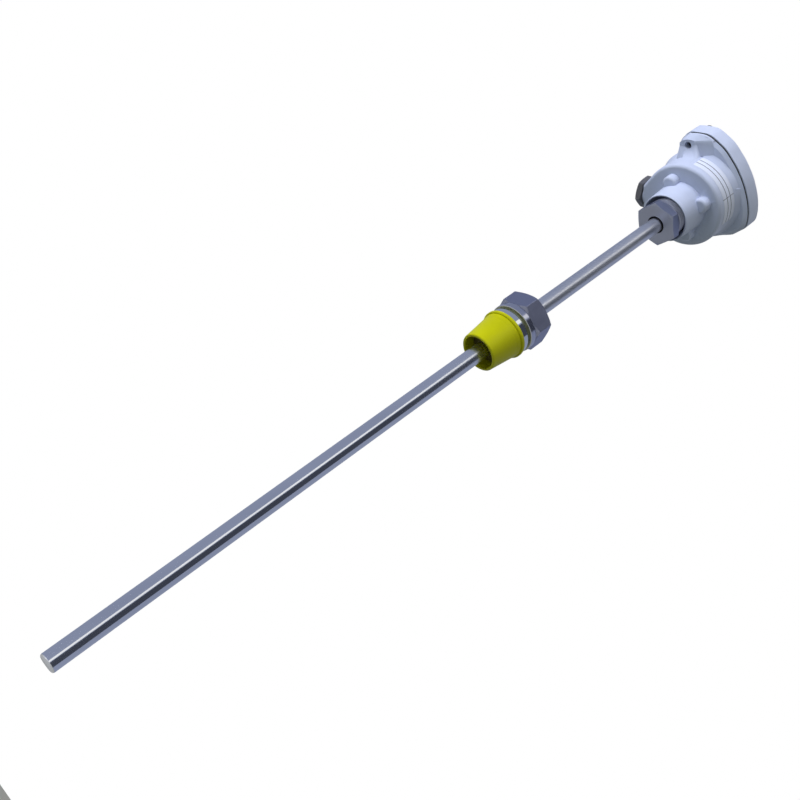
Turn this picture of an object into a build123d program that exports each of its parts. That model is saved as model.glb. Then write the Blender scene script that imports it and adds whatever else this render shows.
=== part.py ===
from build123d import *
import math
import os

os.makedirs("parts", exist_ok=True)

# All sizes in mm. +Z runs along the stem towards the head, the origin is the centre of
# the sealing face that lands on the process wall, and +X points out of the cable entry.

# Stem
stem_d = 9.0                    # protective tube, one diameter from tip to head
stem_wall = 1.0
insertion_len = 270.0           # sealing face to tip
tip_thick = 3.0                 # welded end of the tube
tip_edge_r = 1.2
weld_gap = 0.03                 # radial play left round the stem in turned bores

# Process fitting, one turning
pipe_thread_d = 20.955          # G 1/2 crest
pipe_thread_len = 14.0
thread_end_len = 1.2            # chamfer at the first turn
relief_d = 18.4
relief_len = 2.4
runout_len = 1.0
collar_d = 26.0
collar_len = 3.2
groove_d = 24.4
groove_len = 2.0
ring_d = 27.4
ring_len = 3.8
ring_edge_len = 0.4
hex_af = 27.0
hex_len = 11.5
hex_corner_angle = -1.0         # where one hexagon corner points, from +X
hex_edge_len = 1.4              # how far the chamfer runs along a corner
hex_face_inset = 0.25           # end faces are this much smaller than across flats
hex_over_len = 0.1              # chamfer cone runs past the corners
weld_bead_len = 1.2
weld_toe_len = 0.3

# Thread protection cap
cap_len = 21.0
cap_small_d = 21.6
cap_waist_d = 25.0
cap_rim_d = 27.6
cap_rim_len = 2.0
cap_flare_len = 3.0
cap_flare_out_len = 0.35
cap_bead_step = 0.5
cap_open_d = 18.8
cap_edge_len = 0.4
cap_lead_len = 0.2
cap_grip_play = 0.07            # radial, cap over the thread crests

# Neck nipple
nipple_z = 138.0                # front of its hexagon
nipple_af = 24.0
nipple_hex_len = 6.0
nipple_corner_angle = 26.0
nipple_edge_len = 0.7
nipple_thread_d = 24.0
nipple_thread_len = 16.0
nipple_mouth_d = 10.8
thread_play = 0.05              # radial, male thread in its plain bore

# Head body
neck_end_z = 147.4
counterbore_gap = 1.9           # radial, round the nipple thread
counterbore_len = 3.0
neck_end_wall = 1.0
neck_taper = 1.0                # radial, from the end to the shoulder
neck_edge_r = 0.35
neck_len = 18.0
body_d = 52.6
body_len = 17.7                 # shoulder to the underside of the rim
body_wall = 3.0
floor_thick = 3.2
body_edge_r = 2.0
rim_thick = 3.5                 # flange that carries the lid
throat_d = 16.0
thread_end_gap = 1.5            # above the end of the nipple

# Rim and lid outline: a round, a flat arc on the far side, two screw ears, one plain corner
outline_d = 58.0
outline_shift_r = 1.0
outline_shift_angle = 220.0
flat_arc_r = 46.6
flat_arc_shift_r = 15.4
flat_arc_angle = 150.0
flank_r = 24.0                  # fills the far side between ear and corner
flank_shift_r = 14.0
ear_r = 6.3
ear_pitch_r = 32.4
ear_angles = (85.0, 325.0)
ear_root_r = 12.0
ear_root_shift_r = 14.0
corner_r = 7.5
corner_pitch_r = 28.0
corner_angle = 206.0
hollow_r = 3.0                  # where ears run in to the round
ear_block_r = 5.8
ear_block_len = 5.1
lid_screw_pitch_r = 32.6
lid_screw_d = 4.0
lid_screw_play = 0.2

# Bosses of the blind tapped holes on the shoulder
boss_outset = 0.6               # boss centre outside the neck
boss_count = 4
boss_turn_angle = -20.0
boss_r = 4.6
boss_height = 5.6
boss_dome_r = 1.6

# Lid and its gasket
gasket_thick = 1.2
gasket_inset_len = 0.3
gasket_lip_len = 1.0
lid_height = 11.4
lid_top_thick = 3.0
lid_edge_r = 1.8
lid_foot_r = 0.4
lid_screw_head_d = 7.0
lid_screw_head_h = 3.0
lid_screw_reach_len = 17.7
slot_w = 1.2
slot_depth = 1.1
screw_edge_part = 0.2           # edge rounding, as a part of the head height

# Cable entry: a pressure screw squeezes a rubber bush behind a flat pad of the body
entry_pad_w = 18.0
entry_pad_edge_r = body_edge_r + 0.5
entry_boss_d = 15.2             # sleeve inside the body
entry_boss_len = 1.5            # face in front of the round wall
entry_lip_len = 1.0
entry_inner_gap = 0.6           # sleeve end to insert plate
entry_lip_d = 8.0
gland_thread_d = 12.5
gland_af = 17.0
gland_hex_len = 4.0
gland_edge_len = 0.6
gland_corner_angle = 54.0
gland_bore_d = 8.0
gland_gap = 0.5                 # hexagon to boss face
bush_bore_d = 6.0
bush_len = 3.4
bush_play = 0.05

# Measuring insert
plate_gap = 3.3                 # radial, to the wall of the head
plate_thick = 1.5
plate_hole_d = 5.2
sheath_d = 6.0
sheath_wall = 0.6
sheath_end = 1.0
sheath_top_len = 2.5            # above the plate
sensor_d = 3.2
sensor_len = 15.0
core_play = 0.05
potting_len = 2.0
block_inset_len = 2.0           # radial, to the edge of the plate
block_len = 10.0
block_notch_d = 9.4
block_bore_d = 10.0
terminal_r = 12.0
terminal_spread_angle = 30.0    # each side of an insert screw
terminal_w = 5.4
terminal_h = 5.0
terminal_edge_len = 0.6
terminal_screw_d = 3.0
terminal_head_d = 4.8
terminal_head_h = 2.0
terminal_screw_reach_len = 5.5
tap_end_gap = 1.0
wire_d = 1.0
wire_spread_r = 1.1
wire_turn_angle = 45.0
wire_rise_len = 5.0

# Insert screws and springs
insert_screw_d = 4.0
insert_screw_head_d = 7.0
insert_screw_head_h = 2.6
insert_screw_tap_len = 5.0
insert_tap_play = 0.05
insert_tap_gap = 0.6
spring_len = 10.0
spring_d = 6.6
spring_wire_d = 0.8
spring_turns = 5.5

# Derived positions
tip_z = -insertion_len
hex_z = collar_len + groove_len + ring_len
hex_top_z = hex_z + hex_len
nipple_thread_z = nipple_z + nipple_hex_len
stem_top_z = nipple_thread_z + nipple_thread_len
counterbore_d = nipple_thread_d + 2 * counterbore_gap
neck_end_d = counterbore_d + 2 * neck_end_wall
neck_base_d = neck_end_d + 2 * neck_taper
boss_pitch_r = neck_base_d / 2 + boss_outset
boss_angles = [boss_turn_angle + k * 360 / boss_count for k in range(boss_count)]
insert_angles = boss_angles[1::2]
shoulder_z = neck_end_z + neck_len
floor_z = shoulder_z + floor_thick
shelf_z = shoulder_z + body_len
rim_top_z = shelf_z + rim_thick
lid_z = rim_top_z + gasket_thick
lid_top_z = lid_z + lid_height
cavity_d = body_d - 2 * body_wall
plate_d = cavity_d - 2 * plate_gap
block_d = plate_d - 2 * block_inset_len
plate_top_z = floor_z + plate_thick
block_top_z = plate_top_z + block_len
terminal_top_z = block_top_z + terminal_h
sheath_top_z = plate_top_z + sheath_top_len
core_d = sheath_d - 2 * sheath_wall - 2 * core_play
spring_top_z = plate_top_z + spring_len
entry_z = shoulder_z + entry_boss_d / 2
entry_face_x = body_d / 2 + entry_boss_len
entry_inner_x = plate_d / 2 + entry_inner_gap
bush_x = entry_inner_x + entry_lip_len
gland_x = entry_face_x + gland_gap


def rod(d, z0, z1):
    return Pos(0, 0, z0) * Cylinder(d / 2, z1 - z0, align=(Align.CENTER, Align.CENTER, Align.MIN))


def turned(points):
    """Solid of revolution about Z from (radius, z) points."""
    wire = Wire.make_polygon([(r, 0, z) for r, z in points], close=True)
    return revolve(Face(wire), Axis.Z)


def polar(r, angle):
    a = math.radians(angle)
    return r * math.cos(a), r * math.sin(a)


def round_rims(shape):
    """Circular edges from the lowest to the highest."""
    return shape.edges().filter_by(GeomType.CIRCLE).sort_by(Axis.Z)


def hex_bar(af, z0, z1, corner_angle, edge_len):
    """Hexagon bar, its corners turned off at both ends."""
    bar = extrude(RegularPolygon(af / 2, 6, major_radius=False), z1 - z0)
    bar = Pos(0, 0, z0) * Rot(0, 0, corner_angle) * bar
    r_face = af / 2 - hex_face_inset
    r_out = af / math.sqrt(3) + hex_over_len
    tall = turned([(0, z0), (r_face, z0), (r_out, z0 + edge_len),
                   (r_out, z1 - edge_len), (r_face, z1), (0, z1)])
    return bar & tall


def along_x(shape, x):
    """Takes a shape drawn along +Z and lays it along +X on the axis of the cable entry."""
    return Pos(x, 0, entry_z) * Rot(0, 90, 0) * shape


def disc(r, pitch_r=0.0, angle=0.0):
    return Pos(*polar(pitch_r, angle)) * Circle(r)


def hull_of(*sketches):
    return make_hull([edge for sketch in sketches for edge in sketch.edges()])


def lobed_outline(inset=0.0):
    """Sketch of the rim and lid outline, shrunk by inset all round."""
    near_ear, hidden_ear = (disc(ear_r, ear_pitch_r, angle) for angle in ear_angles)
    corner = disc(corner_r, corner_pitch_r, corner_angle)
    far_side = hull_of(near_ear, corner, disc(flank_r, flank_shift_r, flat_arc_angle))
    far_side &= disc(flat_arc_r, flat_arc_shift_r, flat_arc_angle + 180)
    plan = hull_of(disc(outline_d / 2, outline_shift_r, outline_shift_angle), corner)
    plan += far_side
    plan += hull_of(hidden_ear, disc(ear_root_r, ear_root_shift_r, ear_angles[1]))
    return offset(offset(plan, hollow_r), -hollow_r - inset)


def at_lid_screws(shape):
    for angle in ear_angles:
        x, y = polar(lid_screw_pitch_r, angle)
        yield Pos(x, y, 0) * shape


def at_insert_screws(shape):
    for angle in insert_angles:
        x, y = polar(boss_pitch_r, angle)
        yield Pos(x, y, 0) * shape


def terminal_angles():
    for angle in insert_angles:
        yield angle - terminal_spread_angle
        yield angle + terminal_spread_angle


def at_terminals(shape):
    for angle in terminal_angles():
        yield Rot(0, 0, angle) * Pos(terminal_r, 0, 0) * shape


def stem_tube():
    bore_d = stem_d - 2 * stem_wall
    tube = rod(stem_d, tip_z, stem_top_z)
    tube = fillet(round_rims(tube)[0], tip_edge_r)
    return tube - rod(bore_d, tip_z + tip_thick, stem_top_z)


def process_fitting():
    thread_r = pipe_thread_d / 2
    ring_z = collar_len + groove_len
    end_z = -pipe_thread_len
    body = turned([
        (0, end_z), (thread_r - thread_end_len, end_z), (thread_r, end_z + thread_end_len),
        (thread_r, -relief_len - runout_len), (relief_d / 2, -relief_len), (relief_d / 2, 0),
        (collar_d / 2, 0), (collar_d / 2, collar_len),
        (groove_d / 2, collar_len), (groove_d / 2, ring_z),
        (ring_d / 2 - ring_edge_len, ring_z), (ring_d / 2, ring_z + ring_edge_len),
        (ring_d / 2, hex_z - ring_edge_len), (ring_d / 2 - ring_edge_len, hex_z), (0, hex_z)])
    body += hex_bar(hex_af, hex_z, hex_top_z, hex_corner_angle, hex_edge_len)
    bead_top = hex_top_z + weld_bead_len
    body += turned([(0, hex_top_z), (stem_d / 2 + weld_bead_len, hex_top_z),
                    (stem_d / 2 + weld_toe_len, bead_top), (0, bead_top)])
    return body - rod(stem_d + 2 * weld_gap, end_z, bead_top)


def thread_cap():
    inner_r = pipe_thread_d / 2 + cap_grip_play
    waist_z = -cap_rim_len - cap_flare_len
    rim_r = cap_rim_d / 2
    edge = cap_edge_len
    return turned([
        (cap_open_d / 2, -cap_len), (cap_small_d / 2 - edge, -cap_len),
        (cap_small_d / 2, -cap_len + edge), (cap_waist_d / 2, waist_z),
        (cap_waist_d / 2 + cap_flare_out_len, waist_z + cap_flare_len / 2),
        (rim_r - edge - cap_bead_step, -cap_rim_len), (rim_r - edge, -cap_rim_len),
        (rim_r, -cap_rim_len + edge), (rim_r, -edge),
        (rim_r - edge, 0), (inner_r + cap_lead_len, 0), (inner_r, -cap_lead_len),
        (inner_r, -pipe_thread_len - cap_edge_len)])


def neck_nipple():
    top_z = nipple_thread_z
    body = hex_bar(nipple_af, nipple_z, top_z, nipple_corner_angle, nipple_edge_len)
    r = nipple_thread_d / 2
    c = thread_end_len
    body += turned([(0, top_z), (r - c, top_z), (r - c, top_z + c / 2), (r, top_z + 3 * c / 2),
                    (r, stem_top_z - c), (r - c, stem_top_z), (0, stem_top_z)])
    bore_r = stem_d / 2 + weld_gap
    mouth_r = nipple_mouth_d / 2
    return body - turned([(0, nipple_z), (mouth_r, nipple_z), (bore_r, nipple_z + mouth_r - bore_r),
                          (bore_r, stem_top_z), (0, stem_top_z)])


def shoulder_boss():
    boss = rod(2 * boss_r, shoulder_z - boss_height, floor_z)
    return fillet(round_rims(boss)[0], boss_dome_r)


def ear_block(angle):
    """Deep block under one screw ear, run in to the round wall of the body."""
    plan = hull_of(disc(ear_block_r, lid_screw_pitch_r, angle),
                   disc(ear_block_r, body_d / 2 - ear_block_r, angle))
    return Pos(0, 0, shelf_z - ear_block_len) * extrude(plan, ear_block_len)


def nipple_seat_cut():
    """Counterbore, tapped bore and throat of the neck."""
    bore_r = nipple_thread_d / 2 + thread_play
    seat_z = neck_end_z + counterbore_len
    bore_end_z = stem_top_z + thread_end_gap
    return turned([
        (0, neck_end_z), (counterbore_d / 2, neck_end_z), (counterbore_d / 2, seat_z),
        (bore_r, seat_z), (bore_r, bore_end_z), (throat_d / 2, bore_end_z),
        (throat_d / 2, floor_z), (0, floor_z)])


def entry_cut():
    """Tapped bore for the pressure screw, and the smaller hole in the lip behind the bush."""
    bore = along_x(rod(gland_thread_d + 2 * thread_play, 0, entry_face_x - bush_x), bush_x)
    return bore + along_x(rod(entry_lip_d, 0, entry_lip_len), entry_inner_x)


def body_outline():
    """Sketch of the round wall with the flat pad of the cable entry."""
    pad = Pos(entry_face_x / 2, 0) * Rectangle(entry_face_x, entry_pad_w)
    pad = fillet(pad.vertices().group_by(Axis.X)[-1], entry_pad_edge_r)
    return hull_of(disc(body_d / 2), pad)


def head_body():
    neck = turned([(0, neck_end_z), (neck_end_d / 2, neck_end_z), (neck_base_d / 2, shoulder_z),
                   (0, shoulder_z)])
    neck = fillet(round_rims(neck)[0], neck_edge_r)
    can = Pos(0, 0, shoulder_z) * extrude(body_outline(), body_len)
    can = fillet(can.edges().group_by(Axis.Z)[0], body_edge_r)
    shell = neck + can
    shell += Pos(0, 0, shelf_z) * extrude(lobed_outline(), rim_thick)
    for angle in ear_angles:
        shell += ear_block(angle)
    for angle in boss_angles:
        shell += Pos(*polar(boss_pitch_r, angle), 0) * shoulder_boss()
    shell -= rod(cavity_d, floor_z, rim_top_z)
    shell += along_x(rod(entry_boss_d, 0, entry_face_x - entry_inner_x), entry_inner_x)
    shell -= nipple_seat_cut()
    shell -= entry_cut()
    hole_d = lid_screw_d + 2 * lid_screw_play
    for hole in at_lid_screws(rod(hole_d, shelf_z - ear_block_len, rim_top_z)):
        shell -= hole
    tap_bottom = floor_z - insert_screw_tap_len - insert_tap_gap
    for tap in at_insert_screws(rod(insert_screw_d + 2 * insert_tap_play, tap_bottom, floor_z)):
        shell -= tap
    return shell


def lid_gasket():
    ring = Pos(0, 0, rim_top_z) * extrude(lobed_outline(gasket_inset_len), gasket_thick)
    ring -= rod(cavity_d + 2 * gasket_lip_len, rim_top_z, lid_z)
    for hole in at_lid_screws(rod(lid_screw_d + 2 * lid_screw_play, rim_top_z, lid_z)):
        ring -= hole
    return ring


def lid():
    shell = Pos(0, 0, lid_z) * extrude(lobed_outline(), lid_height)
    shell = fillet(shell.edges().group_by(Axis.Z)[-1], lid_edge_r)
    shell = fillet(shell.edges().group_by(Axis.Z)[0], lid_foot_r)
    shell -= rod(cavity_d, lid_z, lid_top_z - lid_top_thick)
    for hole in at_lid_screws(rod(lid_screw_d + 2 * lid_screw_play, lid_z, lid_top_z)):
        shell -= hole
    return shell


def slotted_screw(d, head_d, head_h, reach, seat_z):
    """Cheese head screw, its head resting on seat_z and its shank pointing down."""
    top = seat_z + head_h
    head = fillet(round_rims(rod(head_d, seat_z, top))[-1], head_h * screw_edge_part)
    head -= Pos(0, 0, top) * Box(head_d, slot_w, 2 * slot_depth * head_h / lid_screw_head_h)
    return head + rod(d, seat_z - reach, seat_z)


def lid_screws():
    screw = slotted_screw(lid_screw_d, lid_screw_head_d, lid_screw_head_h, lid_screw_reach_len,
                          lid_top_z)
    return Compound([*at_lid_screws(screw)])


def gland_bush():
    ring = rod(gland_thread_d - 2 * bush_play, 0, bush_len) - rod(bush_bore_d, 0, bush_len)
    return along_x(ring, bush_x)


def gland_screw():
    """Hexagon pressure screw; its end stands on the bush."""
    end = bush_x + bush_len - gland_x
    shape = hex_bar(gland_af, 0, gland_hex_len, gland_corner_angle, gland_edge_len)
    shape += rod(gland_thread_d, end, 0)
    shape -= rod(gland_bore_d, end, gland_hex_len)
    return along_x(shape, gland_x)


def insert_plate():
    plate = rod(plate_d, floor_z, plate_top_z) - rod(sheath_d + 2 * weld_gap, floor_z, plate_top_z)
    for hole in at_insert_screws(rod(plate_hole_d, floor_z, plate_top_z)):
        plate -= hole
    return plate


def insert_sheath():
    bottom = tip_z + tip_thick
    tube = rod(sheath_d, bottom, sheath_top_z)
    tube = fillet(round_rims(tube)[0], sheath_end)
    return tube - rod(sheath_d - 2 * sheath_wall, bottom + sheath_end, sheath_top_z)


def sensing_element():
    bottom = tip_z + tip_thick + sheath_end
    return rod(sensor_d, bottom, bottom + sensor_len)


def mineral_core():
    bottom = tip_z + tip_thick + sheath_end + sensor_len
    return rod(core_d, bottom, sheath_top_z - potting_len)


def sheath_potting():
    plug = rod(core_d, sheath_top_z - potting_len, sheath_top_z)
    for path in wire_paths():
        plug -= wire_solid(path, core_play)
    return plug


def wire_paths():
    z0 = sheath_top_z - potting_len
    z1 = block_top_z - wire_rise_len
    z2 = block_top_z + terminal_h / 2
    angles = [*terminal_angles()]
    for k, angle in enumerate(angles):
        start_angle = insert_angles[0] - wire_turn_angle + k * 360 / len(angles)
        x0, y0 = polar(wire_spread_r, start_angle)
        x1, y1 = polar(terminal_r - terminal_w / 2, angle)
        dx, dy = polar(1, angle)
        lift = Line((x0, y0, z0), (x0, y0, z1))
        bend = Spline((x0, y0, z1), (x1, y1, z2), tangents=[(0, 0, 1), (dx, dy, 0)])
        yield Wire([lift, bend])


def wire_solid(path, play=0.0):
    section = Plane(path @ 0, z_dir=path % 0) * Circle(wire_d / 2 + play)
    return sweep(section, path=path)


def lead_wires(first):
    paths = [*wire_paths()]
    return Compound([wire_solid(paths[k]) for k in (first, first + 2)])


def terminal_block():
    block = rod(block_d, plate_top_z, block_top_z) - rod(block_bore_d, plate_top_z, block_top_z)
    for notch in at_insert_screws(rod(block_notch_d, plate_top_z, block_top_z)):
        block -= notch
    tap_bottom = terminal_top_z - terminal_screw_reach_len - tap_end_gap
    for tap in at_terminals(rod(terminal_screw_d + 2 * thread_play, tap_bottom, block_top_z)):
        block -= tap
    return block


def terminal_clamps():
    clamp = Pos(0, 0, block_top_z + terminal_h / 2) * Box(terminal_w, terminal_w, terminal_h)
    clamp = chamfer(clamp.edges().filter_by(Axis.Z), terminal_edge_len)
    clamp -= rod(terminal_screw_d + 2 * thread_play, block_top_z, terminal_top_z)
    return Compound([*at_terminals(clamp)])


def terminal_screws():
    screw = slotted_screw(terminal_screw_d, terminal_head_d, terminal_head_h,
                          terminal_screw_reach_len, terminal_top_z)
    return Compound([*at_terminals(screw)])


def insert_screws():
    reach = spring_top_z - floor_z + insert_screw_tap_len
    screw = slotted_screw(insert_screw_d, insert_screw_head_d, insert_screw_head_h, reach, spring_top_z)
    return Compound([*at_insert_screws(screw)])


def spring_coil():
    mean_r = (spring_d - spring_wire_d) / 2
    rise = spring_len - spring_wire_d
    path = Helix(rise / spring_turns, rise, mean_r)
    section = Plane(path @ 0, z_dir=path % 0) * Circle(spring_wire_d / 2)
    coil = sweep(section, path=path, is_frenet=True)
    return Pos(0, 0, plate_top_z + spring_wire_d / 2) * coil


spring_a, spring_b = at_insert_screws(spring_coil())

nodes = {
    "stem_tube": stem_tube(),
    "process_fitting": process_fitting(),
    "neck_nipple": neck_nipple(),
    "head_body": head_body(),
    "lid_gasket": lid_gasket(),
    "gland_bush": gland_bush(),
    "gland_screw": gland_screw(),
    "insert_screws": insert_screws(),
    "spring_a": spring_a,
    "spring_b": spring_b,
    "insert_plate": insert_plate(),
    "insert_sheath": insert_sheath(),
    "sensing_element": sensing_element(),
    "mineral_core": mineral_core(),
    "sheath_potting": sheath_potting(),
    "terminal_block": terminal_block(),
    "terminal_clamps": terminal_clamps(),
    "terminal_screws": terminal_screws(),
    "leads_red": lead_wires(0),
    "leads_white": lead_wires(1),
    "lid": lid(),
    "lid_screws": lid_screws(),
    "thread_cap": thread_cap(),
}

for name, shape in nodes.items():
    export_step(shape, f"parts/{name}.step")
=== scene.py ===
import math

import bmesh
import bpy
from mathutils import Matrix, Vector


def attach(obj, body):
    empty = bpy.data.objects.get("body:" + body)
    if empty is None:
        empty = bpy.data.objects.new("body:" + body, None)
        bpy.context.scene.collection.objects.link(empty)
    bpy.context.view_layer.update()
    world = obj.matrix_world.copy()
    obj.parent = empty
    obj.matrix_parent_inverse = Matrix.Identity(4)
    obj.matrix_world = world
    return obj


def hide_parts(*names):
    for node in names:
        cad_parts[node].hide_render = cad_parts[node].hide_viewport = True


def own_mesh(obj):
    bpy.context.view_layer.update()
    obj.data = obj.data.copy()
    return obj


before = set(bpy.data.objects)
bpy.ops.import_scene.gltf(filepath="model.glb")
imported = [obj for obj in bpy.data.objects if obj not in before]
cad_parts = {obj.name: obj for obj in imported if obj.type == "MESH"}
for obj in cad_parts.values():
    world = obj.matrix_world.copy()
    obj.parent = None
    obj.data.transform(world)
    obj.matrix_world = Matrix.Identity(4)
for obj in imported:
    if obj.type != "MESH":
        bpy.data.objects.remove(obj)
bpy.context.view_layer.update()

MM = 0.001

# Sizes of the visible pieces in mm, those of the CAD where it has them
BODY_R = 26.3
ENTRY_Z = 173.0
LABEL_Z = (169.9, 181.2)
LABEL_ANGLES = (99.0, 200.0)
BOSS_TURN = -20.0
WALL_FOOT_Z = 177.9             # the ear blocks reach down to here
RIM_Z = 183.1
LID_SCREW_R = 32.6
EAR_ANGLE = 85.0
FAR_EAR_ANGLE = 325.0
INSERT_SCREW_R = 16.5
HEX_ROUNDING = 0.3
SHARP_ANGLE = 24

# Threads in mm: crest radius, depth, pitch, foot, top and bore radius
FITTING_THREAD = (10.4775, 1.16, 1.814, -13.3, -2.9, 4.6)
NIPPLE_THREAD = (12.0, 0.92, 1.5, 144.7, 159.4, 4.6)
GLAND_THREAD = (6.25, 0.55, 1.27, 25.1, 28.1, 4.0)
LID_SCREW_THREAD = (2.0, 0.43, 0.7, 181.5, 190.0, 0.4)
INSERT_SCREW_THREAD = (2.0, 0.43, 0.7, 163.7, 176.5, 0.4)
SMALL_COLUMNS = 20              # points round a small screw's thread

# Last correction of the rim and lid to the photo, by degrees from +X: the near ear turned about the
# stem axis, and the outline moved outwards in mm
EAR_TURN = [(45, 0.0), (60, -9.0), (73, -9.0), (77, -6.8), (84, -4.0), (95, -2.5), (122, 0.0)]
EAR_SCREW_TURN = -2.0           # the near lid screw turns with its ear, moves outwards,
EAR_SCREW_OUT = 0.8
HEAD_FOOT_Z = 199.25            # and both screw heads, from here up, are wider than in the CAD
HEAD_GROWN = 1.14
OUTLINE_SHIFT = [(74, 0.0), (78, 0.2), (81, 0.5), (85, 1.2), (90, 2.0), (95, 2.6), (99, 2.6), (105, 2.0),
                 (116, 1.4), (127, 0.2), (147, -0.7), (168, -1.0), (196, -0.6), (205, -0.3), (213, 0.0),
                 (220, 0.9), (227, 1.6), (232, 1.0), (238, 0.3), (244, 0.0)]
BOX_X_MAX = 32.84               # the CAD's own box, which the shaped outline keeps to
BOX_Y_MIN = -29.64
BOX_Y_MAX = 38.27
BLOCK_FACE_Z = 181.0            # the screw blocks are shorter, narrower outwards, and the near one is turned
BLOCK_EDGE_R = 34.8
BLOCK_DRAFT = 0.4
BLOCK_TURN = [(40, 0.0), (62, -5.7), (100, -5.7), (122, 0.0)]
FAR_ARC = (46.6, 15.4, 150.0)   # radius of the far side's arc, and how far and where its centre lies back
RIM_RISE = 1.9                  # the underside of the rim sits higher, and the wall flares up to it
FLARE_Z = 181.4
FLARE_R = 2.0
EAR_END_R = 5.8                 # the CAD's rounding of an ear about its screw; points in the band lie on it,
EAR_END_BAND = 0.12
EAR_WIDENING = 12.0             # and on the ear's side they turn by up to these degrees
ARC_SIDE = (85, 100)            # degrees in which the rim is cut back to the far side's arc
BLEND = 4.0                     # the correction grows over this much of the radius outside the wall
OUTLINE_MIN_R = 28.5            # edges of the outline lie beyond this, and the long ones are divided
LONGEST_EDGE = 3.0

# How far the rim's underside draws in, by degrees; it stays full at the screw blocks
RIM_TAPER = [(62, 2.3), (72, 0.0), (98, 0.0), (107, 2.3), (304, 2.3), (314, 0.0), (336, 0.0), (346, 2.3)]


# Helpers

def linear(code):
    """Hex colour as a display shows it, turned to the linear value that Blender wants."""
    channels = [int(code[i:i + 2], 16) / 255 for i in (1, 3, 5)]
    return tuple(c / 12.92 if c <= 0.04045 else ((c + 0.055) / 1.055) ** 2.4 for c in channels) + (1.0,)


def add(tree, kind, inputs=None, **settings):
    """One node with its settings; an input takes a value or another node's socket."""
    n = tree.nodes.new(kind)
    for key, value in settings.items():
        setattr(n, key, value)
    for key, value in (inputs or {}).items():
        if isinstance(value, bpy.types.NodeSocket):
            tree.links.new(value, n.inputs[key])
        else:
            n.inputs[key].default_value = value
    return n


def empty_material(name):
    mat = bpy.data.materials.new(name)
    mat.use_nodes = True
    mat.node_tree.nodes.clear()
    return mat, mat.node_tree


def new_material(name, **constants):
    """Material with one shader, and its constant sockets set."""
    mat, tree = empty_material(name)
    shader = add(tree, "ShaderNodeBsdfPrincipled", {k.replace("_", " "): v for k, v in constants.items()})
    add(tree, "ShaderNodeOutputMaterial", {"Surface": shader.outputs[0]})
    return mat, tree, shader


def object_point(tree, scale=(1, 1, 1)):
    """Object coordinates in mm, stretched by scale."""
    point = add(tree, "ShaderNodeTexCoord").outputs["Object"]
    factors = tuple(s / MM for s in scale)
    return add(tree, "ShaderNodeMapping", {"Vector": point, "Scale": factors}).outputs[0]


def ramp(tree, factor, stops, interpolation="LINEAR"):
    """Colour ramp from (position, colour) stops."""
    n = add(tree, "ShaderNodeValToRGB", {"Fac": factor})
    n.color_ramp.interpolation = interpolation
    while len(n.color_ramp.elements) < len(stops):
        n.color_ramp.elements.new(1.0)
    for element, (position, colour) in zip(n.color_ramp.elements, stops):
        element.position = position
        element.color = colour
    return n.outputs[0]


def grey(v):
    return (v, v, v, 1.0)


def height_ramp(tree, stops, low, high):
    """Ramp along the stem axis, its stops given in mm."""
    z = add(tree, "ShaderNodeSeparateXYZ", {"Vector": object_point(tree)}).outputs["Z"]
    part = add(tree, "ShaderNodeMapRange", {"Value": z, "From Min": low, "From Max": high}).outputs[0]
    marks = [((p - low) / (high - low), colour) for p, colour in stops]
    return ramp(tree, part, marks, "CONSTANT")


def put(obj, mat):
    obj.data.materials.clear()
    obj.data.materials.append(mat)


def mesh_piece(name, verts, faces, mat, smooth=True):
    """Mesh object at the origin from points in mm."""
    mesh = bpy.data.meshes.new(name)
    mesh.from_pydata([Vector(v) * MM for v in verts], [], faces)
    mesh.polygons.foreach_set("use_smooth", [smooth] * len(mesh.polygons))
    mesh.materials.append(mat)
    obj = bpy.data.objects.new(name, mesh)
    bpy.context.scene.collection.objects.link(obj)
    return obj


def tidy_normals(obj):
    bm = bmesh.new()
    bm.from_mesh(obj.data)
    bmesh.ops.remove_doubles(bm, verts=bm.verts, dist=1e-7)
    bmesh.ops.recalc_face_normals(bm, faces=bm.faces)
    bm.to_mesh(obj.data)
    bm.free()


# Materials: metals

def drawn_tube():
    """Drawn and ground stainless tube: long fine streaks break the reflections into soft bands,
    and slow blotches keep the length from looking even."""
    mat, tree, shader = new_material("stainless_tube_drawn_ground", Metallic=1.0)
    streaks = add(tree, "ShaderNodeTexNoise", {"Vector": object_point(tree, (1, 1, 0.01)), "Scale": 1.6,
                                               "Detail": 4.0}).outputs["Fac"]
    blotches = add(tree, "ShaderNodeTexNoise", {"Vector": object_point(tree, (1, 1, 0.25)), "Scale": 0.12,
                                                "Detail": 3.0}).outputs["Fac"]
    colour = ramp(tree, blotches, [(0.3, linear("#DFE1E6")), (0.7, linear("#E8EAEE"))])
    height = add(tree, "ShaderNodeSeparateXYZ", {"Vector": object_point(tree)}).outputs["Z"]
    ground = add(tree, "ShaderNodeMapRange", {"Value": height, "From Min": -90.0, "From Max": 25.0,
                                              "To Min": 0.12, "To Max": 0.36}).outputs[0]
    spread = add(tree, "ShaderNodeMapRange", {"Value": streaks, "To Min": -0.04, "To Max": 0.04}).outputs[0]
    rough = add(tree, "ShaderNodeMath", {0: ground, 1: spread}, operation="ADD").outputs[0]
    bump = add(tree, "ShaderNodeBump", {"Height": streaks, "Strength": 0.04, "Distance": 0.00002})
    tree.links.new(colour, shader.inputs["Base Color"])
    tree.links.new(rough, shader.inputs["Roughness"])
    tree.links.new(bump.outputs[0], shader.inputs["Normal"])
    return mat


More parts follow.
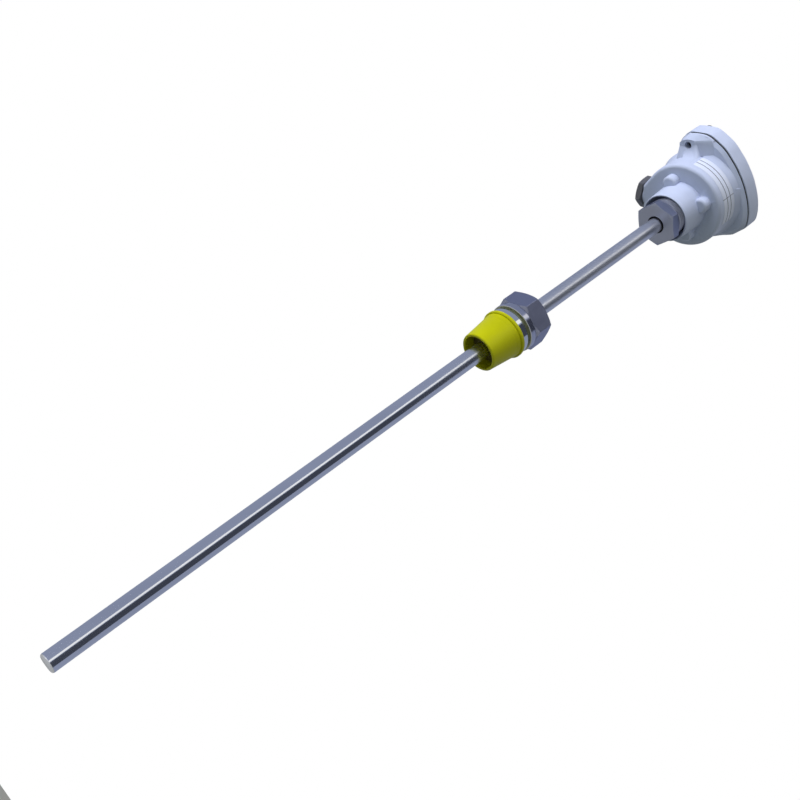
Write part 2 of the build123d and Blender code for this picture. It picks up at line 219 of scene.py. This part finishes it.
# The fitting along the stem axis: where each zone begins in mm, its colour and its roughness
FITTING_LOW = -20
FITTING_HIGH = 25
FITTING_ZONES = [
    # inside the cap: the end is painted dark olive, painted shade tinted by the yellow cap
    (-20, "#6A6438", 0.6),
    (-13.2, "#9EA1A8", 0.25),       # thread
    (-0.3, "#5C5A3C", 0.6),         # undercut, painted dark olive shade
    (0.15, "#E2E5E8", 0.045),       # polished collar
    (3.2, "#A9AD94", 0.42),         # groove, painted darker olive shade
    (5.2, "#C4C6D2", 0.16),         # ring
    (9.0, "#A4A8BE", 0.44),         # hexagon
    (20.5, "#A09E9A", 0.4),         # back of the hexagon
]


def turned_fitting():
    """Stainless bar, turned and left as the tool cut it: the collar is the polished sealing face,
    the groove has painted shade, the end and undercut in the cap painted olive shade, and the hexagon is the
    dull rolled bar."""
    mat, tree, shader = new_material("stainless_bar_turned", Metallic=1.0)
    tones = [(foot, linear(code)) for foot, code, rough in FITTING_ZONES]
    roughs = [(foot, grey(rough)) for foot, code, rough in FITTING_ZONES]
    colour = height_ramp(tree, tones, FITTING_LOW, FITTING_HIGH)
    base = height_ramp(tree, roughs, FITTING_LOW, FITTING_HIGH)
    smears = add(tree, "ShaderNodeTexNoise", {"Vector": object_point(tree), "Scale": 0.2,
                                              "Detail": 2.0}).outputs["Fac"]
    shift = add(tree, "ShaderNodeMapRange", {"Value": smears, "To Min": -0.03, "To Max": 0.05}).outputs[0]
    rough = add(tree, "ShaderNodeMath", {0: base, 1: shift}, operation="ADD").outputs[0]
    tree.links.new(colour, shader.inputs["Base Color"])
    tree.links.new(rough, shader.inputs["Roughness"])
    return mat


def plain_metal(name, code, rough, streak, bore_shade_within=None):
    """Small metal parts: one tone, broken by a fine grain of the given size in mm. Within a radius from
    the stem axis a bore mouth is painted near-black, as painted shade."""
    mat, tree, shader = new_material(name, Metallic=1.0, Base_Color=linear(code))
    grain = add(tree, "ShaderNodeTexNoise", {"Vector": object_point(tree), "Scale": 1 / streak,
                                             "Detail": 4.0}).outputs["Fac"]
    spread = add(tree, "ShaderNodeMapRange", {"Value": grain, "To Min": rough - 0.07,
                                              "To Max": rough + 0.10}).outputs[0]
    bump = add(tree, "ShaderNodeBump", {"Height": grain, "Strength": 0.15, "Distance": 0.00002})
    tree.links.new(spread, shader.inputs["Roughness"])
    tree.links.new(bump.outputs[0], shader.inputs["Normal"])
    # painted shade: near-black colour inside the given radius from the stem axis
    if bore_shade_within:
        level = add(tree, "ShaderNodeMapping", {"Vector": object_point(tree), "Scale": (1, 1, 0)})
        away = add(tree, "ShaderNodeVectorMath", {0: level.outputs[0]}, operation="LENGTH").outputs["Value"]
        inside = add(tree, "ShaderNodeMath", {0: away, 1: bore_shade_within}, operation="LESS_THAN").outputs[0]
        tone = add(tree, "ShaderNodeMix", {0: inside, 6: linear(code), 7: linear("#26262C")},
                   data_type="RGBA")
        tree.links.new(tone.outputs[2], shader.inputs["Base Color"])
    return mat


# Materials: plastics, rubber and ceramics

def moulded_plastic(name, low, high, rough, grain, depth, **constants):
    """Moulded plastic: two close tones in slow clouds, and a fine skin of the given grain in mm
    that softens the light at the edges."""
    mat, tree, shader = new_material(name, **constants)
    clouds = add(tree, "ShaderNodeTexNoise", {"Vector": object_point(tree), "Scale": 0.06,
                                              "Detail": 3.0}).outputs["Fac"]
    skin = add(tree, "ShaderNodeTexNoise", {"Vector": object_point(tree), "Scale": 1 / grain,
                                            "Detail": 4.0}).outputs["Fac"]
    colour = ramp(tree, clouds, [(0.35, linear(low)), (0.65, linear(high))])
    spread = add(tree, "ShaderNodeMapRange", {"Value": skin, "To Min": rough - 0.05,
                                              "To Max": rough + 0.07}).outputs[0]
    bump = add(tree, "ShaderNodeBump", {"Height": skin, "Strength": 0.3, "Distance": depth * MM})
    tree.links.new(colour, shader.inputs["Base Color"])
    tree.links.new(spread, shader.inputs["Roughness"])
    tree.links.new(bump.outputs[0], shader.inputs["Normal"])
    return mat


def label_vinyl():
    """Printed-blank vinyl: white, slightly shiny, with two thin ruled lines and one divider, which
    keep the field layout of a data label without any words."""
    mat, tree, shader = new_material("white_vinyl_ruled", Roughness=0.42)
    uv = add(tree, "ShaderNodeUVMap", uv_map="label").outputs[0]
    split = add(tree, "ShaderNodeSeparateXYZ", {"Vector": uv})
    masks = []
    for axis, place, width in (("Y", 0.36, 0.022), ("Y", 0.66, 0.022), ("X", 0.64, 0.003)):
        away = add(tree, "ShaderNodeMath", {0: split.outputs[axis], 1: place}, operation="SUBTRACT")
        size = add(tree, "ShaderNodeMath", {0: away.outputs[0]}, operation="ABSOLUTE").outputs[0]
        masks.append(add(tree, "ShaderNodeMath", {0: size, 1: width}, operation="LESS_THAN").outputs[0])
    both = add(tree, "ShaderNodeMath", {0: masks[0], 1: masks[1]}, operation="MAXIMUM").outputs[0]
    ruled = add(tree, "ShaderNodeMath", {0: both, 1: masks[2]}, operation="MAXIMUM").outputs[0]
    colour = add(tree, "ShaderNodeMix", {0: ruled, 6: linear("#E4E9FA"), 7: linear("#34384A")},
                 data_type="RGBA")
    tree.links.new(colour.outputs[2], shader.inputs["Base Color"])
    return mat


M = {
    "tube": drawn_tube(),
    "fitting": turned_fitting(),
    # hexagon nipple: the same bar, darker, because it was rolled and only turned on the thread
    "nipple": plain_metal("stainless_bar_nipple_turned", "#A4A9BC", 0.34, 0.5, bore_shade_within=5.45),
    # zinc on steel: bright, slightly cloudy
    "zinc": plain_metal("steel_zinc_plated", "#B9BAB6", 0.34, 0.4),
    # blackened steel: nearly no colour, a soft shine on the edges
    "dark_steel": plain_metal("steel_blackened", "#3A3A3E", 0.42, 0.3),
    # spring wire: drawn and tempered, so a dull even grey
    "spring": plain_metal("spring_wire_drawn", "#8C8D90", 0.30, 0.2),
    # brass clamps: milled, warm
    "brass": plain_metal("brass_milled", "#C2A15A", 0.30, 0.3),
    # housing: glass filled polyester, pale blue grey, with a fine orange skin
    "housing": moulded_plastic("polyester_grey_moulded", "#C6CEE6", "#CCD4EC", 0.42, 0.45, 0.04),
    # cap: soft polyethylene, strong yellow, light glows a little through the thin wall
    "cap": moulded_plastic("polyethylene_yellow_moulded", "#BABA00", "#C2C200", 0.42, 0.7, 0.03,
                           Specular_IOR_Level=0.25, Subsurface_Weight=0.05, Subsurface_Scale=0.002,
                           Subsurface_Radius=(1.0, 0.9, 0.1)),
    # pressure screw: polyamide, mid grey, satin
    "gland": moulded_plastic("polyamide_grey_moulded", "#55555A", "#5E5D60", 0.38, 0.5, 0.03),
    # seals: rubber, matt and dark, dusty grain
    "rubber": moulded_plastic("rubber_black_moulded", "#141416", "#1B1B1D", 0.70, 0.3, 0.04),
    # terminal block: fired ceramic, warm white, dry surface
    "ceramic": moulded_plastic("ceramic_fired_unglazed", "#E2DDCF", "#E9E4D7", 0.62, 0.35, 0.05),
    # packed powder in the sheath: chalky
    "oxide": moulded_plastic("oxide_powder_packed", "#D8D5CB", "#E2DFD6", 0.80, 0.25, 0.08),
    # potting: cast resin, dark and glossy
    "potting": moulded_plastic("resin_cast_dark", "#2A211A", "#32281F", 0.25, 1.5, 0.02),
    # sleeves: extruded, smooth along the wire
    "red": moulded_plastic("sleeve_red_extruded", "#A31F1A", "#AC241E", 0.40, 0.6, 0.02),
    "white": moulded_plastic("sleeve_white_extruded", "#DADAD4", "#E2E2DC", 0.40, 0.6, 0.02),
    "label": label_vinyl(),
}

NODE_MATERIAL = {
    "stem_tube": "tube", "insert_sheath": "tube", "process_fitting": "fitting", "neck_nipple": "nipple",
    "head_body": "housing", "lid": "housing", "lid_gasket": "rubber", "gland_bush": "rubber",
    "gland_screw": "gland", "insert_screws": "zinc", "spring_a": "spring", "spring_b": "spring",
    "insert_plate": "nipple", "sensing_element": "ceramic", "mineral_core": "oxide",
    "sheath_potting": "potting", "terminal_block": "ceramic", "terminal_clamps": "brass",
    "terminal_screws": "zinc", "leads_red": "red", "leads_white": "white", "lid_screws": "dark_steel",
    "thread_cap": "cap",
}
for node, key in NODE_MATERIAL.items():
    put(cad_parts[node], M[key])


# Threads, made by one Geometry Nodes tree

def thread_tree():
    """Ring with a helical ridge on its outside. A grid is rolled up: its columns go round, its rows
    go up the outside, and the first and last rows close it along the bore."""
    tree = bpy.data.node_groups.new("thread_ring", "GeometryNodeTree")
    face = tree.interface
    face.new_socket("Geometry", in_out="OUTPUT", socket_type="NodeSocketGeometry")
    for name, value in (("Crest radius", 0.01), ("Depth", 0.001), ("Pitch", 0.0015), ("Bottom", 0.0),
                        ("Top", 0.01), ("Bore radius", 0.005), ("Run out", 0.001)):
        face.new_socket(name, in_out="INPUT", socket_type="NodeSocketFloat").default_value = value
    for name, value in (("Columns", 48), ("Rows", 60)):
        face.new_socket(name, in_out="INPUT", socket_type="NodeSocketInt").default_value = value
    face.new_socket("Material", in_out="INPUT", socket_type="NodeSocketMaterial")
    given = add(tree, "NodeGroupInput").outputs

    def calc(operation, a, b=0.0, clamp=False):
        return add(tree, "ShaderNodeMath", {0: a, 1: b}, operation=operation, use_clamp=clamp).outputs[0]

    grid = add(tree, "GeometryNodeMeshGrid", {"Size X": 1.0, "Size Y": 1.0, "Vertices X": given["Columns"],
                                              "Vertices Y": given["Rows"]})
    place = add(tree, "ShaderNodeSeparateXYZ", {"Vector": add(tree, "GeometryNodeInputPosition").outputs[0]})
    turn = calc("ADD", place.outputs["X"], 0.5)
    last = calc("SUBTRACT", given["Rows"], 1.0)
    row = calc("ROUND", calc("MULTIPLY", calc("ADD", place.outputs["Y"], 0.5), last))
    outside = calc("MULTIPLY", calc("GREATER_THAN", row, 0.5),
                   calc("LESS_THAN", row, calc("SUBTRACT", last, 1.5)))
    part = calc("DIVIDE", calc("SUBTRACT", row, 1.0), calc("SUBTRACT", last, 3.0), True)
    back_home = calc("LESS_THAN", row, calc("SUBTRACT", last, 0.5))
    rise = calc("SUBTRACT", given["Top"], given["Bottom"])
    up = calc("MULTIPLY", calc("MULTIPLY", part, back_home), rise)
    z = calc("ADD", given["Bottom"], up)
    phase = calc("FRACT", calc("SUBTRACT", calc("DIVIDE", up, given["Pitch"]), turn))
    flank = calc("MULTIPLY", calc("ABSOLUTE", calc("SUBTRACT", phase, 0.5)), 2.0)
    ridge = calc("MULTIPLY", calc("SUBTRACT", flank, 0.12), 1.32, True)
    fade = calc("MULTIPLY", calc("DIVIDE", up, given["Run out"], True),
                calc("DIVIDE", calc("SUBTRACT", rise, up), given["Run out"], True))
    root = calc("SUBTRACT", given["Crest radius"], given["Depth"])
    r_out = calc("ADD", root, calc("MULTIPLY", calc("MULTIPLY", ridge, fade), given["Depth"]))
    gap = calc("SUBTRACT", r_out, given["Bore radius"])
    r = calc("ADD", given["Bore radius"], calc("MULTIPLY", gap, outside))
    angle = calc("MULTIPLY", turn, math.tau)
    spot = add(tree, "ShaderNodeCombineXYZ", {"X": calc("MULTIPLY", r, calc("COSINE", angle)),
                                              "Y": calc("MULTIPLY", r, calc("SINE", angle)), "Z": z})
    moved = add(tree, "GeometryNodeSetPosition", {"Geometry": grid.outputs["Mesh"],
                                                  "Position": spot.outputs[0]})
    merged = add(tree, "GeometryNodeMergeByDistance", {"Geometry": moved.outputs[0], "Distance": 1e-7})
    real = add(tree, "GeometryNodeRealizeInstances", {"Geometry": merged.outputs[0]})
    done = add(tree, "GeometryNodeSetMaterial", {"Geometry": real.outputs[0],
                                                 "Material": given["Material"]})
    add(tree, "NodeGroupOutput", {"Geometry": done.outputs[0]})
    return tree


THREAD = thread_tree()


def thread_mesh(mat, crest_r, depth, pitch, bottom, top, bore_r, columns):
    """Plain mesh of one threaded ring along Z, sizes in mm."""
    rows = int((top - bottom) / pitch * 10) + 4
    values = {"Crest radius": crest_r * MM, "Depth": depth * MM, "Pitch": pitch * MM,
              "Bottom": bottom * MM, "Top": top * MM, "Bore radius": bore_r * MM,
              "Run out": pitch * MM, "Columns": columns + 1, "Rows": rows, "Material": mat}
    holder = bpy.data.objects.new("thread_holder", bpy.data.meshes.new("thread_holder"))
    bpy.context.scene.collection.objects.link(holder)
    modifier = holder.modifiers.new("thread", "NODES")
    modifier.node_group = THREAD
    for item in THREAD.interface.items_tree:
        if item.in_out == "INPUT":
            modifier[item.identifier] = values[item.name]
    graph = bpy.context.evaluated_depsgraph_get()
    mesh = bpy.data.meshes.new_from_object(holder.evaluated_get(graph))
    bpy.data.objects.remove(holder)
    return mesh


def upright_hex_edges(bm):
    """Corner edges of a hexagon bar along Z: straight, 60 degrees between their faces."""
    found = []
    for edge in bm.edges:
        way = edge.verts[1].co - edge.verts[0].co
        if len(edge.link_faces) == 2 and way.length > 2 * MM and abs(way.normalized().z) > 0.999 \
                and abs(math.degrees(edge.calc_face_angle()) - 60) < 4:
            found.append(edge)
    return found


def copy_of(node, ending):
    """Copy of a CAD node, named after it."""
    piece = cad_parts[node].copy()
    piece.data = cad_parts[node].data.copy()
    piece.name = node + ending
    bpy.context.scene.collection.objects.link(piece)
    return piece


def opened(piece):
    """The piece's mesh to edit, its double points merged and its flat faces joined."""
    bm = bmesh.new()
    bm.from_mesh(piece.data)
    bmesh.ops.remove_doubles(bm, verts=bm.verts, dist=1e-7)
    bmesh.ops.dissolve_limit(bm, angle_limit=math.radians(0.05), verts=bm.verts, edges=bm.edges)
    return bm


def even_shading(piece):
    """Smooth faces with sharp edges, the normals weighed by face size so that flats look flat."""
    piece.data.polygons.foreach_set("use_smooth", [True] * len(piece.data.polygons))
    piece.data.set_sharp_from_angle(angle=math.radians(SHARP_ANGLE))
    weigh = piece.modifiers.new("weigh", "WEIGHTED_NORMAL")
    weigh.keep_sharp = True
    weigh.weight = 100
    graph = bpy.context.evaluated_depsgraph_get()
    mesh = bpy.data.meshes.new_from_object(piece.evaluated_get(graph))
    piece.modifiers.clear()
    piece.data = mesh


def closed(bm, piece):
    """The edited mesh put back, with faces that shade evenly."""
    bmesh.ops.triangulate(bm, faces=[f for f in bm.faces if len(f.verts) > 4])
    bm.to_mesh(piece.data)
    bm.free()
    even_shading(piece)


def threaded(node, mat, crest_r, depth, pitch, bottom, top, bore_r, spots=((0, 0),), columns=56,
             lay=Matrix.Identity(4)):
    """Copy of a CAD node whose plain thread is cut back to the root and gets a real helix.
    lay takes the thread's own frame to the part's frame, in mm."""
    piece = copy_of(node, "_threaded")
    bm = opened(piece)
    back = lay.inverted()
    for v in bm.verts:
        p = back @ (v.co / MM)
        for x, y in spots:
            r = math.hypot(p.x - x, p.y - y)
            if abs(r - crest_r) < 0.02 and bottom - 0.05 < p.z < top + 0.6:
                k = (crest_r - depth - 0.02) / r
                p = Vector((x + (p.x - x) * k, y + (p.y - y) * k, p.z))
                v.co = (lay @ p) * MM
    bmesh.ops.bevel(bm, geom=upright_hex_edges(bm), offset=HEX_ROUNDING * MM, segments=3,
                    affect="EDGES", profile=0.5)
    closed(bm, piece)
    put(piece, mat)
    parts = [piece]
    for x, y in spots:
        ring = thread_mesh(mat, crest_r, depth, pitch, bottom, top, bore_r, columns)
        shift = Matrix.Translation(Vector((x, y, 0)))
        ring.transform(Matrix.Scale(MM, 4) @ lay @ shift @ Matrix.Scale(1 / MM, 4))
        ring.polygons.foreach_set("use_smooth", [True] * len(ring.polygons))
        extra = bpy.data.objects.new("ring", ring)
        bpy.context.scene.collection.objects.link(extra)
        parts.append(extra)
    with bpy.context.temp_override(active_object=piece, selected_editable_objects=parts):
        bpy.ops.object.join()
    return piece


def polar(r, angle):
    return r * math.cos(math.radians(angle)), r * math.sin(math.radians(angle))


def stand_for(piece, node, body):
    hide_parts(node)
    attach(piece, body)
    return piece


def between(stops, angle):
    """Value between the (angle, value) stops, level beyond the ends."""
    if angle <= stops[0][0]:
        return stops[0][1]
    for (a0, v0), (a1, v1) in zip(stops, stops[1:]):
        if angle <= a1:
            return v0 + (v1 - v0) * (angle - a0) / (a1 - a0)
    return stops[-1][1]


def far_arc_r(angle):
    """Radius of the CAD outline on the far side."""
    arc_r, back, middle = FAR_ARC
    turn = math.radians(angle - middle)
    return math.sqrt(arc_r ** 2 - (back * math.sin(turn)) ** 2) - back * math.cos(turn)


def reshaped(p, out):
    """A point of the rim or lid, in mm, moved to the outline of the photo."""
    r, angle = math.hypot(p.x, p.y), math.degrees(math.atan2(p.y, p.x)) % 360
    z = p.z
    if z < WALL_FOOT_Z or r < BODY_R - 0.05:
        return p
    if z < FLARE_Z + 0.05 and r > BODY_R + 0.5:
        z = max(z, BLOCK_FACE_Z)
        r = min(r, BLOCK_EDGE_R + max(r - BLOCK_EDGE_R, 0.0) * BLOCK_DRAFT)
        x, y = polar(r, angle + between(BLOCK_TURN, angle))
        return Vector((x, y, z))
    low = z < RIM_Z + 0.05
    if low and ARC_SIDE[0] < angle < ARC_SIDE[1]:
        r = min(r, far_arc_r(angle))
    on_rim = abs(z - RIM_Z) < 0.05
    if on_rim:
        aside = r * math.sin(math.radians(angle - EAR_ANGLE))
        along = r * math.cos(math.radians(angle - EAR_ANGLE))
        edge = math.hypot(aside, max(along - LID_SCREW_R, 0.0))
        at_end = aside > 0.5 and along > 0 and abs(edge - EAR_END_R) < EAR_END_BAND
        if at_end and r < far_arc_r(angle) - 0.3:
            angle += EAR_WIDENING * aside / EAR_END_R
        z += RIM_RISE
    taper = between(RIM_TAPER, angle) if on_rim else 0.0
    angle += between(EAR_TURN, angle)
    part = min((r - BODY_R) / BLEND, 1.0)
    r += part * (between(OUTLINE_SHIFT, angle) + out - taper)
    if on_rim:
        r += (1 - part) * FLARE_R
    x, y = polar(r, angle)
    return Vector((min(x, BOX_X_MAX), max(min(y, BOX_Y_MAX), BOX_Y_MIN), z))


def long_outline_edges(bm):
    """Level edges of the outline that are too long to follow a curve."""
    found = []
    for edge in bm.edges:
        a, b = (v.co / MM for v in edge.verts)
        level = abs(a.z - b.z) < 0.01 and min(a.z, b.z) > WALL_FOOT_Z
        outer = min(math.hypot(a.x, a.y), math.hypot(b.x, b.y)) > OUTLINE_MIN_R
        if level and outer and (a - b).length > LONGEST_EDGE:
            found.append(edge)
    return found


def reshape(node, body, key, out, thicker=0.0):
    """Copy of a CAD node with its outline corrected; a soft piece can also swell up and down."""
    piece = copy_of(node, "_shaped")
    bm = opened(piece)
    bmesh.ops.bisect_plane(bm, geom=bm.verts[:] + bm.edges[:] + bm.faces[:], plane_co=(0, 0, FLARE_Z * MM),
                           plane_no=(0, 0, 1))
    bmesh.ops.subdivide_edges(bm, edges=long_outline_edges(bm), cuts=5)
    middle = sum(v.co.z for v in bm.verts) / len(bm.verts)
    for v in bm.verts:
        p = reshaped(v.co / MM, out)
        p.z += thicker if v.co.z > middle else -thicker
        v.co = p * MM
    closed(bm, piece)
    put(piece, M[key])
    stand_for(piece, node, body)


def move_lid_screws(screws, spots):
    """The near screw follows its ear, and both heads grow about their own axis."""
    turned = Matrix.Rotation(math.radians(EAR_SCREW_TURN), 3, "Z")
    out = Vector((*polar(EAR_SCREW_OUT, EAR_ANGLE + EAR_SCREW_TURN), 0)) * MM
    for v in screws.data.vertices:
        on_near = v.co.y > 0
        if v.co.z > HEAD_FOOT_Z * MM:
            axis = Vector((*spots[0 if on_near else 1], 0)) * MM
            aside = v.co - axis
            v.co = Vector((axis.x + aside.x * HEAD_GROWN, axis.y + aside.y * HEAD_GROWN, v.co.z))
        if on_near:
            v.co = turned @ v.co + out


lid_spots = [polar(LID_SCREW_R, a) for a in (EAR_ANGLE, FAR_EAR_ANGLE)]
insert_spots = [polar(INSERT_SCREW_R, a) for a in (BOSS_TURN + 90, BOSS_TURN + 270)]
along_x = Matrix.Translation(Vector((0, 0, ENTRY_Z))) @ Matrix.Rotation(math.radians(90), 4, "Y")
stand_for(threaded("process_fitting", M["fitting"], *FITTING_THREAD), "process_fitting", "probe")
stand_for(threaded("neck_nipple", M["nipple"], *NIPPLE_THREAD), "neck_nipple", "probe")
stand_for(threaded("gland_screw", M["gland"], *GLAND_THREAD, lay=along_x), "gland_screw", "gland_screw")
screws = stand_for(threaded("lid_screws", M["dark_steel"], *LID_SCREW_THREAD, lid_spots, SMALL_COLUMNS),
                   "lid_screws", "lid")
move_lid_screws(screws, lid_spots)
stand_for(threaded("insert_screws", M["zinc"], *INSERT_SCREW_THREAD, insert_spots, SMALL_COLUMNS),
          "insert_screws", "probe")

reshape("head_body", "probe", "housing", -0.3)
reshape("lid", "lid", "housing", 0.3)
reshape("lid_gasket", "probe", "rubber", -0.15, 0.05)


# Springs, copied with tidied normals and hung on the probe

for node in ("spring_a", "spring_b"):
    coil = copy_of(node, "_coil")
    tidy_normals(coil)
    put(coil, M["spring"])
    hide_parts(node)
    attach(coil, "probe")
    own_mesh(coil)


# Label and mould marks on the housing

def label():
    """Curved sticker with rounded corners, a closed shell 0.1 mm thick."""
    columns, rows, corner = 72, 12, 1.0
    z0, z1 = LABEL_Z
    arc = math.radians(LABEL_ANGLES[1] - LABEL_ANGLES[0]) * BODY_R
    verts, faces, uvs = [], [], []
    for r in (BODY_R + 0.02, BODY_R + 0.12):
        for j in range(rows + 1):
            for i in range(columns + 1):
                s, h = i / columns * arc, j / rows * (z1 - z0)
                near = min(h, z1 - z0 - h)
                inset = corner - math.sqrt(corner ** 2 - (corner - near) ** 2) if near < corner else 0.0
                s = min(max(s, inset), arc - inset)
                a = math.radians(LABEL_ANGLES[0]) + s / BODY_R
                verts.append((r * math.cos(a), r * math.sin(a), z0 + h))
                uvs.append((s / arc, h / (z1 - z0)))
    w = columns + 1
    layer = w * (rows + 1)
    for j in range(rows):
        for i in range(columns):
            a = j * w + i
            faces.append((a, a + w, a + w + 1, a + 1))
            b = a + layer
            faces.append((b, b + 1, b + w + 1, b + w))
    rim = [j * w for j in range(rows)] + [rows * w + i for i in range(columns)]
    rim += [j * w + columns for j in range(rows, 0, -1)] + list(range(columns, 0, -1))
    for k, a in enumerate(rim):
        b = rim[(k + 1) % len(rim)]
        faces.append((a, b, b + layer, a + layer))
    obj = mesh_piece("data_label", verts, faces, M["label"])
    grid = obj.data.uv_layers.new(name="label")
    for loop in obj.data.loops:
        grid.data[loop.index].uv = uvs[loop.vertex_index]
    tidy_normals(obj)
    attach(obj, "probe")


def mould_line():
    """Thin flash line left by the mould: over the shoulder, then across the underside of the rim."""
    shoulder = [(19.6, 165.42), (24.3, 165.42)]
    rim = [(26.6, 183.08), (30.6, 183.08)]
    half, high = 0.16, 0.16
    a = math.radians(BOSS_TURN + 180.0)
    out, side = Vector((math.cos(a), math.sin(a), 0)), Vector((-math.sin(a), math.cos(a), 0))
    verts, faces = [], []
    for (r0, z0), (r1, z1) in (shoulder, rim):
        start = len(verts)
        for r, z in ((r0, z0), (r1, z1)):
            for across, drop in ((-half, 0.03), (0, -high), (half, 0.03)):
                verts.append(out * r + side * across + Vector((0, 0, z + drop)))
        s = start
        faces += [(s, s + 1, s + 4, s + 3), (s + 1, s + 2, s + 5, s + 4), (s, s + 3, s + 5, s + 2),
                  (s, s + 2, s + 1), (s + 3, s + 4, s + 5)]
    obj = mesh_piece("mould_line", verts, faces, M["housing"], smooth=False)
    tidy_normals(obj)
    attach(obj, "probe")


label()
mould_line()


# Stage: pale floor, white background, soft lights and cards that the metal mirrors

def white_to_rays(tree):
    """Background shader: white to camera, mirror and glass rays, plain light to all others."""
    path = add(tree, "ShaderNodeLightPath")
    seen = path.outputs["Is Camera Ray"]
    for name in ("Is Glossy Ray", "Is Transmission Ray"):
        seen = add(tree, "ShaderNodeMath", {0: seen, 1: path.outputs[name]}, operation="MAXIMUM").outputs[0]
    white = add(tree, "ShaderNodeBackground", {"Color": grey(1.0), "Strength": 1.0}).outputs[0]
    plain = add(tree, "ShaderNodeBackground", {"Color": linear("#E6E8E2"), "Strength": 0.40}).outputs[0]
    return add(tree, "ShaderNodeMixShader", {0: seen, 1: plain, 2: white}).outputs[0]


world = bpy.data.worlds.new("studio")
world.use_nodes = True
world.node_tree.nodes.clear()
add(world.node_tree, "ShaderNodeOutputWorld", {"Surface": white_to_rays(world.node_tree)})
bpy.context.scene.world = world

# The floor throws back less light than it shows, so that the undersides don't look washed out
floor_mat, floor_tree = empty_material("paper_white_matt")
paper = add(floor_tree, "ShaderNodeBsdfDiffuse", {"Color": linear("#F2F2F2")}).outputs[0]
dull = add(floor_tree, "ShaderNodeBsdfDiffuse", {"Color": linear("#A2A8A2")}).outputs[0]
bounced = add(floor_tree, "ShaderNodeLightPath").outputs["Is Diffuse Ray"]
sheet = add(floor_tree, "ShaderNodeMixShader", {0: bounced, 1: paper, 2: dull}).outputs[0]
add(floor_tree, "ShaderNodeOutputMaterial", {"Surface": sheet})
FLOOR_Z = -360.0
FLOOR_HALF = 4000
floor_corners = [(FLOOR_HALF * i, FLOOR_HALF * j, FLOOR_Z) for i, j in ((-1, -1), (1, -1), (1, 1), (-1, 1))]
floor = mesh_piece("floor", floor_corners, [(0, 1, 2, 3)], floor_mat, smooth=False)

# What the metal mirrors: an even grey surround, a white strip light beside the camera, and a dark card
CARD_FOOT_Z = -700.0
CARD_TOP_Z = 2600.0
CARD_STEP = 6.0                 # degrees between two corners of a curved card


def card(name, middle, width, radius, code):
    """Upright card bent round the stem axis, in degrees from +X. It glows evenly, and only mirrors see it."""
    steps = round(width / CARD_STEP)
    verts = []
    for k in range(steps + 1):
        x, y = polar(radius, middle + width * (k / steps - 0.5))
        verts += [(x, y, CARD_FOOT_Z), (x, y, CARD_TOP_Z)]
    faces = [(2 * k, 2 * k + 1, 2 * k + 3, 2 * k + 2) for k in range(steps)]
    mat, tree = empty_material(name)
    glow = add(tree, "ShaderNodeEmission", {"Color": linear(code), "Strength": 1.0})
    add(tree, "ShaderNodeOutputMaterial", {"Surface": glow.outputs[0]})
    obj = mesh_piece(name, verts, faces, mat, smooth=False)
    obj.visible_camera = False
    obj.visible_diffuse = False
    obj.visible_shadow = False
    obj.visible_transmission = False
    return obj


STRIP_ANGLE = 130.0
DARK_ANGLE = 175.0
SURROUND_R = 1500.0
CARD_R = 1450.0
surround = card("card_grey_matt", STRIP_ANGLE, 360.0, SURROUND_R, "#9098B0")
strip_light = card("card_white_matt", STRIP_ANGLE, 18.0, CARD_R, "#FFFFFF")
dark_card = card("card_black_matt", DARK_ANGLE, 60.0, CARD_R, "#404450")

# The camera's directions and place in metres, fitted to the photo's edges
right = Vector((-0.689795, -0.154386, 0.707352))
down = Vector((-0.340852, -0.792706, -0.505407))
forward = Vector((0.638751, -0.58973, 0.494182))
camera_place = Vector((-0.290304, 0.272947, -0.30133))
light_aim = Vector((0, 0, 0.1))


def soft_light(name, to_up, to_left, to_camera, distance, size, power, code):
    """Square area light, placed by the camera's directions and aimed between fitting and head."""
    way = (-down * to_up - right * to_left - forward * to_camera).normalized()
    data = bpy.data.lights.new(name, "AREA")
    data.size = size
    data.energy = power
    data.color = linear(code)[:3]
    obj = bpy.data.objects.new(name, data)
    facing = way.to_track_quat("Z", "Y").to_matrix().to_4x4()
    obj.matrix_world = Matrix.Translation(light_aim + way * distance) @ facing
    obj.visible_camera = False
    obj.visible_glossy = False
    bpy.context.scene.collection.objects.link(obj)


soft_light("key", 1.0, 0.35, 0.55, 1.6, 1.1, 30.0, "#F0F3FF")
soft_light("fill", 0.1, -0.5, 1.0, 2.0, 1.6, 5.0, "#F2F5FF")

camera = bpy.data.objects.new("camera", bpy.data.cameras.new("camera"))
camera.data.lens = 42.448
camera.data.sensor_width = 36.0
camera.data.clip_start = 0.01
axes = Matrix((right, -down, -forward)).transposed().to_4x4()
camera.matrix_world = Matrix.Translation(camera_place) @ axes
bpy.context.scene.collection.objects.link(camera)
bpy.context.scene.camera = camera
bpy.context.scene.view_settings.view_transform = "Standard"
